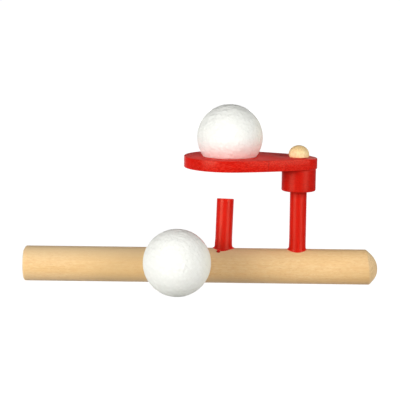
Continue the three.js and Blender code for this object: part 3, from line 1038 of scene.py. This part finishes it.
def make_paint_bead(name, base, axis, radius, spread):
    """The ridge of paint and glue at a dowel's foot, which lies on the pipe's round top."""
    profile = [(height * MM, radius + proud * MM) for height, proud in RIDGE_PROFILE]
    bead = turned(name, profile, SMALL_ROUND_STEPS, base, axis)
    for point in bead.data.vertices:
        height = (point.co - base).dot(axis)
        out = point.co - base - axis * height
        proud = out.length - radius
        direction = out.normalized()
        flare = flare_at(math.atan2(direction.y, direction.x), *spread)
        if proud > 0:
            out = direction * (radius + proud * flare)
        spot = base + axis * (pipe_radius + height) + out
        ridge = math.sqrt(pipe_radius ** 2 - spot.y ** 2)
        rise = height * (RIDGE_HEIGHT_LEAST + RIDGE_HEIGHT_RISE * flare)
        point.co = Vector((spot.x, spot.y, ridge + rise))
    smooth(bead, sharp_angle=80)
    return bead


def flare_at(around, least, lobes, lump_count, seed):
    """How far the paint spreads in one direction round a dowel."""
    lump_place = Vector((lump_count * math.cos(around), lump_count * math.sin(around), seed))
    spread = sum(share * lobe(around, middle, width) for share, middle, width in lobes)
    return least + spread + RIDGE_LUMPS * noise.noise(lump_place)


def lobe(around, middle, width):
    """1 in one direction round a dowel, and fading to both sides of it."""
    away = (around - math.radians(middle) + math.pi) % FULL_TURN - math.pi
    return math.exp(-(away / math.radians(width)) ** 2)


def make_paint_run():
    """A drop of paint that ran down the pipe's side from the nozzle's foot and dried there."""
    start = NOZZLE_PLACE + RUN_START
    end = NOZZLE_PLACE + RUN_END
    length = (end - start).length
    tip_place = length * RUN_TIP
    swell = [(length * share, RUN_RADIUS * (RUN_TOP_WIDTH + (1 - RUN_TOP_WIDTH) * share))
             for share in RUN_SWELL]
    tip = arc(tip_place, 0, RUN_RADIUS, RUN_TIP_START, QUARTER_TURN, RUN_TIP_STEPS)[:-1]
    profile = [(0, 0), *swell, *tip, (tip_place + RUN_RADIUS, 0)]
    run = turned("nozzle_paint_run", profile, RUN_STEPS, start, (end - start).normalized())
    smooth(run, sharp_angle=60)
    return run


# Stage: camera, floor, background and lamps
def place_camera():
    bpy.ops.object.camera_add()
    camera = bpy.context.object
    camera.name = "camera"
    forward = Vector((
        math.sin(CAMERA_TURN) * math.cos(CAMERA_DIP),
        math.cos(CAMERA_TURN) * math.cos(CAMERA_DIP),
        -math.sin(CAMERA_DIP),
    ))
    level = Vector((math.cos(CAMERA_TURN), -math.sin(CAMERA_TURN), 0))
    upright = level.cross(forward)
    right = level * math.cos(CAMERA_TILT) + upright * math.sin(CAMERA_TILT)
    up = upright * math.cos(CAMERA_TILT) - level * math.sin(CAMERA_TILT)
    turn = Matrix((right, up, -forward)).transposed().to_4x4()
    camera.matrix_world = Matrix.Translation(CAMERA_PLACE) @ turn
    camera.data.sensor_width = SENSOR_WIDTH
    camera.data.lens = CAMERA_LENS
    camera.data.clip_start = CLIP_START
    camera.data.clip_end = CLIP_END
    bpy.context.scene.camera = camera


def seen_share(tree, way, near=0.0):
    """1 where the camera sees a backdrop, directly or through something clear. A gloss sees
    only what lies behind the toy, and what is near."""
    path = add_node(tree, "LightPath").outputs
    backdrop = ramp(tree, dot(tree, way, BACKWARD), *BACKDROP_EDGE)
    backdrop = maths(tree, "MAXIMUM", backdrop, near)
    gloss = maths(tree, "MULTIPLY", path["Is Glossy Ray"], backdrop)
    seen = maths(tree, "MAXIMUM", path["Is Camera Ray"], gloss)
    return maths(tree, "MAXIMUM", seen, path["Is Transmission Ray"])


def lay_floor():
    """Pale paper, which lights the toy from below as paper does and looks nearly white."""
    deselect()
    bpy.ops.mesh.primitive_plane_add(size=FLOOR_SIZE, location=(0, 0, spare_ball_low.z))
    floor = bpy.context.object
    floor.name = "floor"
    bpy.ops.object.transform_apply()
    finish = bpy.data.materials.new("pale_paper")
    finish.use_nodes = True
    tree = finish.node_tree
    tree.nodes.clear()
    place = add_node(tree, "TexCoord").outputs["Object"]
    from_toy = vector_maths(tree, "SUBTRACT", place, TOY_MIDDLE)[0]
    away = vector_maths(tree, "DISTANCE", place, TOY_MIDDLE)["Value"]
    way = add_node(tree, "VectorMath", {0: from_toy}, operation="NORMALIZE").outputs[0]
    brightness = ramp(tree, away, *FLOOR_GLOW)
    near = ramp(tree, away, *FLOOR_NEAR)
    paper = add_node(tree, "BsdfDiffuse", {"Color": (*FLOOR_COLOUR, 1)}).outputs[0]
    shade = add_node(tree, "BsdfDiffuse", {"Color": (*FLOOR_SHADE, 1)}).outputs[0]
    glow = add_node(tree, "Emission", {"Color": (1, 1, 1, 1), "Strength": brightness}).outputs[0]
    lit = add_node(tree, "AddShader", {0: shade, 1: glow}).outputs[0]
    seen = seen_share(tree, way, near)
    both = add_node(tree, "MixShader", {0: seen, 1: paper, 2: lit}).outputs[0]
    add_node(tree, "OutputMaterial", {"Surface": both})
    floor.data.materials.append(finish)


def light_surroundings():
    """A room that looks white, and lights the toy from all sides with a dim grey."""
    world = bpy.data.worlds.new("white_room")
    bpy.context.scene.world = world
    world.use_nodes = True
    tree = world.node_tree
    tree.nodes.clear()
    way = add_node(tree, "TexCoord").outputs["Generated"]
    soft = add_node(tree, "Background", {"Color": (*SURROUNDINGS, 1)}).outputs[0]
    white = add_node(tree, "Background", {"Color": (1, 1, 1, 1)}).outputs[0]
    seen = seen_share(tree, way)
    both = add_node(tree, "MixShader", {0: seen, 1: soft, 2: white}).outputs[0]
    add_node(tree, "OutputWorld", {"Surface": both})


def hang_lamp(name, side_angle, height_angle, distance, width, height, power, in_gloss):
    """A soft box round the toy: side_angle is 0 behind the camera and grows to the right."""
    side = math.radians(side_angle)
    rise = math.radians(height_angle)
    way = Vector((
        math.sin(side) * math.cos(rise), -math.cos(side) * math.cos(rise), math.sin(rise),
    ))
    bpy.ops.object.light_add(type="AREA", location=LAMP_TARGET + way * distance)
    lamp = bpy.context.object
    lamp.name = name
    lamp.rotation_euler = (-way).to_track_quat("-Z", "Y").to_euler()
    lamp.visible_glossy = in_gloss
    lamp.data.shape = "RECTANGLE"
    lamp.data.size = width
    lamp.data.size_y = height
    lamp.data.energy = power


place_camera()

pipe_wood = natural_wood(
    "natural_pipe_wood", light=(0.875, 0.582, 0.262), dark=(0.77, 0.475, 0.19),
    pale=(0.9, 0.64, 0.33), end_grain=(0.9, 0.67, 0.375), pith=(0.05, -0.03), mottling=1.3,
    painted_sheen=0.72,
)
peg_wood = natural_wood(
    "natural_peg_wood", light=(0.95, 0.77, 0.4), dark=(0.85, 0.63, 0.3),
    pale=(0.97, 0.82, 0.47), end_grain=(0.96, 0.66, 0.3), pith=(0.002, 0.004), mottling=1.8,
    turn=GRAIN_UP, grain_way=UPWARD,
)
red_dowel = red_wood(
    "red_dowel_paint", GRAIN_UP, depth=0.9, gloss=0.27, sanding=0.75, brushing=0.4,
    shading=POST_TOP_SHADE,
)
red_foot = red_wood(
    "red_nozzle_paint", GRAIN_UP, depth=0.97, sanding=0.75, brushing=0.4,
    shading=NOZZLE_FOOT_SHADOW,
)
red_plate = red_wood(
    "red_plate_paint", (0, 0, -arm_turn), depth=0.93, gloss=0.145, mottling=2.8,
    across=LINE_PLACE,
)
red_block = red_wood(
    "red_collar_paint", squeeze=(1, 0.04, 0.8), depth=0.8, gloss=0.21, sanding=0.7,
    mottling=1.5, shading=COLLAR_TOP_SHADOW,
)
# The run's dark red is partly its thick paint and partly painted shade.
thick_shaded_red = red_wood("thick_shaded_red_paint", GRAIN_UP, depth=0.4, gloss=0.1)
ring_foam = white_foam(
    "foam_in_ring", shift=(0.3, 0.1, 0.2), centre=ring_ball_place, red_reflection_way=(0.14, 0, -0.99),
    red_reflection_start=0.0, red_reflection_end=13.5 * MM, wood_reflection=0.35,
)
spare_foam = white_foam(
    "foam_spare", shift=(0.7, 0.5, 0.9), centre=spare_ball_place, red_reflection_way=(0.69, 0.36, 0.63),
    red_reflection_start=16.7 * MM, red_reflection_end=19.5 * MM, wood_reflection=0.42,
)

mount(make_pipe(), "pipe_and_post", "pipe", pipe_wood)
mount(make_nozzle(), "pipe_and_post", "nozzle", red_foot)
mount(make_post(), "pipe_and_post", "post", red_dowel)
mount(make_collar(), "pipe_and_post", "post_collar", red_block)
mount(make_peg(), "pipe_and_post", "pivot_peg", peg_wood)
mount(make_arm(), "swing_arm", "ball_arm", red_plate)
mount(
    make_ball("foam_ball_in_ring", ring_ball_place, seed=11.0),
    "ring_ball", "ring_ball", ring_foam,
)
mount(
    make_ball("foam_ball_spare", spare_ball_place, seed=47.0),
    "spare_ball", "spare_ball", spare_foam,
)
mount(
    make_paint_bead(
        "nozzle_paint_bead", NOZZLE_PLACE, nozzle_axis(), NOZZLE_RADIUS, NOZZLE_SPREAD,
    ),
    "pipe_and_post", None, red_foot,
)
mount(
    make_paint_bead("post_paint_bead", post_place, UPWARD, post_radius, POST_SPREAD),
    "pipe_and_post", None, red_dowel,
)
mount(make_paint_run(), "pipe_and_post", None, thick_shaded_red)

lay_floor()
light_surroundings()
for lamp in LAMPS:
    hang_lamp(*lamp)

bpy.context.scene.view_settings.view_transform = "Standard"

bpy.context.view_layer.update()
